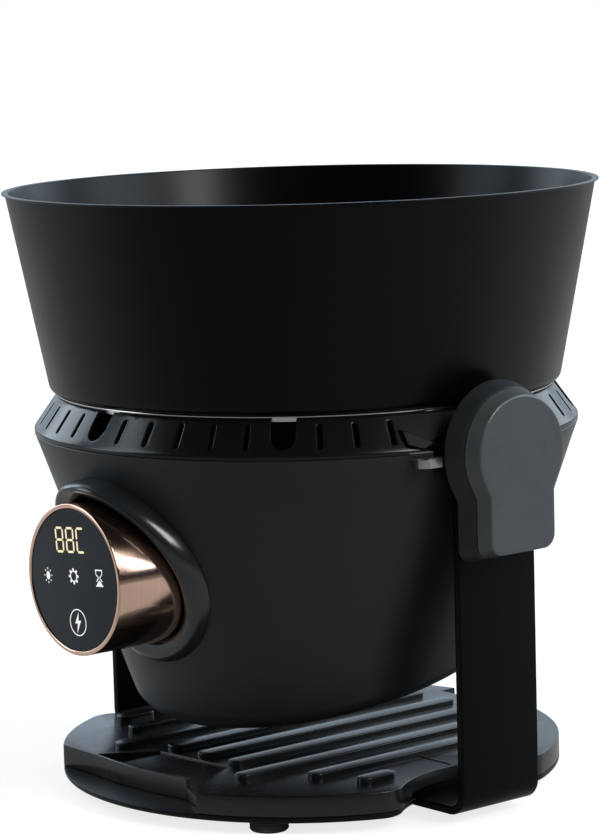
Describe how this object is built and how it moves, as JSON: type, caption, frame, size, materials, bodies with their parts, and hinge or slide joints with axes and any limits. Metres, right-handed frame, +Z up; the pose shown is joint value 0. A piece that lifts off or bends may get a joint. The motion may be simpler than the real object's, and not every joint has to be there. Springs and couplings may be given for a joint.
{
  "type": "hot pot and grill cooker",
  "caption": "Countertop cooker: a lift-off pot on a heater head that turns over between side arms above a ribbed grill base with a drain spout and rubber feet.",
  "frame": {"origin": "on the surface the feet stand on, under the middle of the bounding box, which is also the upright axis of the pot", "axes": "+Z up, -Y towards the display side, +X towards the arm with the lock lever"},
  "size_m": [0.315, 0.3, 0.3027],
  "materials": {
    "base": "satin black coated steel",
    "arm": "satin black coated steel bar",
    "grill": "slate grey non-stick coating on cast aluminium",
    "rubber": "matte black",
    "steel": "plain",
    "brass": "turned",
    "housing": "satin dark grey",
    "chrome": "polished",
    "shell": "satin black",
    "ring": "glossy black",
    "element": "oxidised",
    "insulation": "pressed fibre board",
    "motor": "plated can",
    "board": "circuit board green",
    "inner_plastic": "black",
    "display": "smoked display lens",
    "nylon": "black nylon",
    "copper": "polished rose copper",
    "pot": "matte black non-stick coating"
  },
  "bodies": {
    "stand": {"base_disc": "base", "rubber_foot_front_left": "rubber", "rubber_foot_front_right": "rubber", "rubber_foot_rear_left": "rubber", "rubber_foot_rear_right": "rubber", "strap_right": "arm", "strap_left": "arm", "strap_screw_1": "steel", "strap_screw_2": "steel", "strap_screw_3": "steel", "strap_screw_4": "steel", "pivot_bush_right": "brass", "pivot_bush_left": "brass", "housing_base_right": "housing", "housing_base_left": "housing", "housing_cap_right": "housing", "housing_cap_left": "housing"},
    "grill": {"grill_plate": "grill"},
    "lever": {"lock_lever": "chrome"},
    "head": {"lower_shell": "shell", "bottom_cover": "shell", "cover_screw_1": "steel", "cover_screw_2": "steel", "cover_screw_3": "steel", "cover_screw_4": "steel", "vent_ring": "ring", "trim_ring": "chrome", "heat_dish": "steel", "heating_element": "element", "element_clip_1": "steel", "element_clip_2": "steel", "element_clip_3": "steel", "insulation_pad": "insulation", "thermostat": "motor", "motor_bracket": "steel", "fan_motor": "motor", "control_board": "board", "knob_core": "inner_plastic", "display_glass": "display", "collar": "shell", "keeper": "shell", "power_inlet": "inner_plastic", "spacer_washer_right": "nylon", "spacer_washer_left": "nylon", "shaft_nut_right": "steel", "shaft_nut_left": "steel", "pivot_shaft_right": "steel", "pivot_shaft_left": "steel"},
    "knob": {"knob_ring": "copper"},
    "fan": {"cooling_fan": "inner_plastic"},
    "pot": {"pot": "pot"}
  },
  "joints": [
    {"name": "head_flip", "type": "hinge", "parent": "stand", "child": "head", "pos_m": [0, 0, 0.182], "axis": [-1, 0, 0], "range_deg": [0, 180]},
    {"name": "pot_lift", "type": "slide", "parent": "stand", "child": "pot", "axis": [0, 0, 1], "range_m": [0, 0.4713]},
    {"name": "grill_lift", "type": "slide", "parent": "stand", "child": "grill", "axis": [0, 0, 1], "range_m": [0, 0.01]},
    {"name": "lever_press", "type": "hinge", "parent": "stand", "child": "lever", "pos_m": [0.14055, 0, 0.182], "axis": [1, 0, 0], "range_deg": [0, 6], "stiffness_Nm_per_rad": 0.2, "springref_deg": -11.46},
    {"name": "knob_turn", "type": "hinge", "parent": "head", "child": "knob", "pos_m": [0, -0.1496, 0.1209], "axis": [0, -1, 0], "continuous": true},
    {"name": "fan_spin", "type": "hinge", "parent": "head", "child": "fan", "pos_m": [0, 0, 0.1386], "axis": [0, 0, 1], "continuous": true}
  ],
  "couplings": [
    {"joint": "pot_lift", "follows": "head_flip", "m_per_rad": 0.15}
  ]
}
